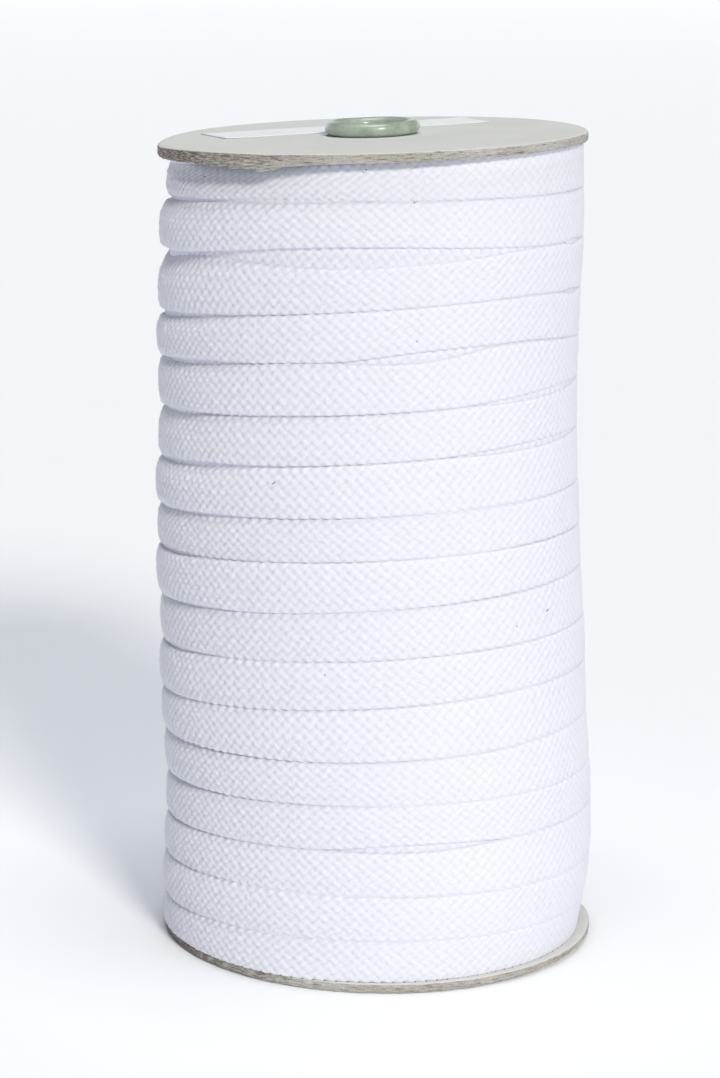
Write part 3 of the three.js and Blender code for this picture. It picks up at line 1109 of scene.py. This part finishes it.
class SPOOL_OT_stick_label(bpy.types.Operator):
    """Stick the bare paper label on the top disc"""

    bl_idname = "spool.stick_label"
    bl_label = "Stick Label"

    def execute(self, context):
        label = context.scene.spool.label
        rows, columns = 25, 97
        y, x = np.meshgrid(
            np.linspace(-0.5, 0.5, rows) * LABEL["width"],
            np.linspace(-0.5, 0.5, columns) * LABEL["length"],
            indexing="ij",
        )
        corner = (2 * np.abs(x) / LABEL["length"]) ** 14 * (0.3 + np.abs(y) / LABEL["width"])
        ripple = 0.02 * wander(x, 41, 4, 30.0)
        rest = HEIGHT + REST + label.curl * corner + ripple
        turn = math.radians(LABEL["turn"])
        placed_x = LABEL["x"] + x * math.cos(turn) - y * math.sin(turn)
        placed_y = LABEL["y"] + x * math.sin(turn) + y * math.cos(turn)
        sheets = [np.stack([placed_x, placed_y, rest + h], axis=-1).reshape(-1, 3)
                  for h in (label.thickness, 0.0)]
        size = rows * columns
        faces = grid_faces(rows, columns)
        border = np.concatenate([
            np.arange(columns),
            np.arange(1, rows) * columns + columns - 1,
            np.arange(columns - 2, -1, -1) + (rows - 1) * columns,
            np.arange(rows - 2, 0, -1) * columns,
        ])
        after = np.roll(border, -1)
        sides = np.stack([after, border, border + size, after + size], axis=1)
        faces = np.concatenate([faces, faces[:, ::-1] + size, sides])
        piece = mesh_object("paper_label", lean(np.concatenate(sheets)), [faces])
        keep_sharp(piece, len(sides))
        finish_piece(piece, paper_material(label), "label_paper", "label")
        return {"FINISHED"}


class SPOOL_OT_set_studio(bpy.types.Operator):
    """Lay the pale floor, hang the soft lights and place the camera"""

    bl_idname = "spool.set_studio"
    bl_label = "Set Studio"

    def execute(self, context):
        scene, studio = context.scene, context.scene.spool.studio
        self.lay_floor(studio)
        for name, colour in (("key", studio.key_colour), ("fill", studio.tint), ("overhead", studio.tint)):
            self.hang_light(studio, name, colour)
        world = bpy.data.worlds.new("studio_white")
        world.use_nodes = True
        world.node_tree.nodes["Background"].inputs["Color"].default_value = (*studio.tint, 1.0)
        world.node_tree.nodes["Background"].inputs["Strength"].default_value = studio.sky
        scene.world = world
        scene.view_settings.view_transform = "Standard"
        lens = bpy.data.cameras.new("spool_camera")
        lens.lens = studio.lens
        lens.sensor_width = 36.0
        camera = bpy.data.objects.new("spool_camera", lens)
        scene.collection.objects.link(camera)
        foot = base_middle()
        place = Vector((foot.x + studio.camera_side, foot.y - studio.camera_distance, studio.camera_height))
        camera.matrix_world = (
            Matrix.Translation(place)
            @ Matrix.Rotation(math.pi / 2 - studio.camera_down, 4, "X")
            @ Matrix.Rotation(studio.camera_roll, 4, "Z")
        )
        scene.camera = camera
        return {"FINISHED"}

    def lay_floor(self, studio):
        """A wide round floor whose rim rises, so that every view ends on it."""
        flat, rise, steps, sides = 7.0, 3.0, 24, 96
        bend = np.linspace(0, np.pi / 2, steps)
        radius = np.concatenate([[0.001, 0.5, 2.0, 4.0], flat + rise * np.sin(bend)])
        height = np.concatenate([[0, 0, 0, 0], rise * (1 - np.cos(bend))])
        angle = np.linspace(0, 2 * np.pi, sides, endpoint=False)[None, :]
        points = round_axis(radius[:, None], angle, height[:, None]).reshape(-1, 3)
        floor = mesh_object("floor", points, [grid_faces(len(radius), sides, wrap_columns=True)])
        nodes = Nodes("pale_floor")
        place = nodes.place()
        tooth = nodes.noise(place, 40.0, 2.0)
        paint = tuple(studio.floor)
        tint = nodes.mix(tooth, tuple(0.99 * c for c in paint), paint)
        floor.data.materials.append(nodes.surface(base_color=tint, roughness=0.9))

    def hang_light(self, studio, name, colour):
        """A far, wide light that shines down on the spool from one side of the front."""
        side, above, spread = (getattr(studio, f"{name}_{part}") for part in ("side", "height", "spread"))
        light = bpy.data.lights.new(f"{name}_light", "SUN")
        light.angle = spread
        light.energy = getattr(studio, name)
        light.color = colour
        lamp = bpy.data.objects.new(light.name, light)
        lamp.rotation_euler = (math.pi / 2 - above, 0.0, side)
        lamp.location = (math.sin(side), -math.cos(side), math.tan(above))
        bpy.context.scene.collection.objects.link(lamp)


class SPOOL_PT_panel(bpy.types.Panel):
    """Sizes, colours and steps of the cord spool"""

    bl_idname = "SPOOL_PT_panel"
    bl_label = "Cord Spool"
    bl_space_type = "VIEW_3D"
    bl_region_type = "UI"
    bl_category = "Cord Spool"

    def draw(self, context):
        spool = context.scene.spool
        for part in SpoolSettings.__annotations__:
            box = self.layout.box()
            box.label(text=part.title())
            settings = getattr(spool, part)
            for name in settings.__annotations__:
                box.prop(settings, name)
        for step in STEPS:
            self.layout.operator(step.bl_idname)


STEPS = (
    SPOOL_OT_set_studio,
    SPOOL_OT_cut_boards,
    SPOOL_OT_mould_core,
    SPOOL_OT_stick_label,
    SPOOL_OT_wind_cord,
    SPOOL_OT_lay_under_layer,
    SPOOL_OT_drop_lint_and_shadows,
)
CLASSES = (
    CordSettings,
    BoardSettings,
    CoreSettings,
    LabelSettings,
    StudioSettings,
    SpoolSettings,
    *STEPS,
    SPOOL_PT_panel,
)


def register():
    for cls in CLASSES:
        bpy.utils.register_class(cls)
    bpy.types.Scene.spool = PointerProperty(type=SpoolSettings)


def unregister():
    del bpy.types.Scene.spool
    for cls in reversed(CLASSES):
        bpy.utils.unregister_class(cls)


def main():
    register()
    for step in STEPS:
        group, action = step.bl_idname.split(".")
        getattr(getattr(bpy.ops, group), action)()


if __name__ == "__main__":
    main()
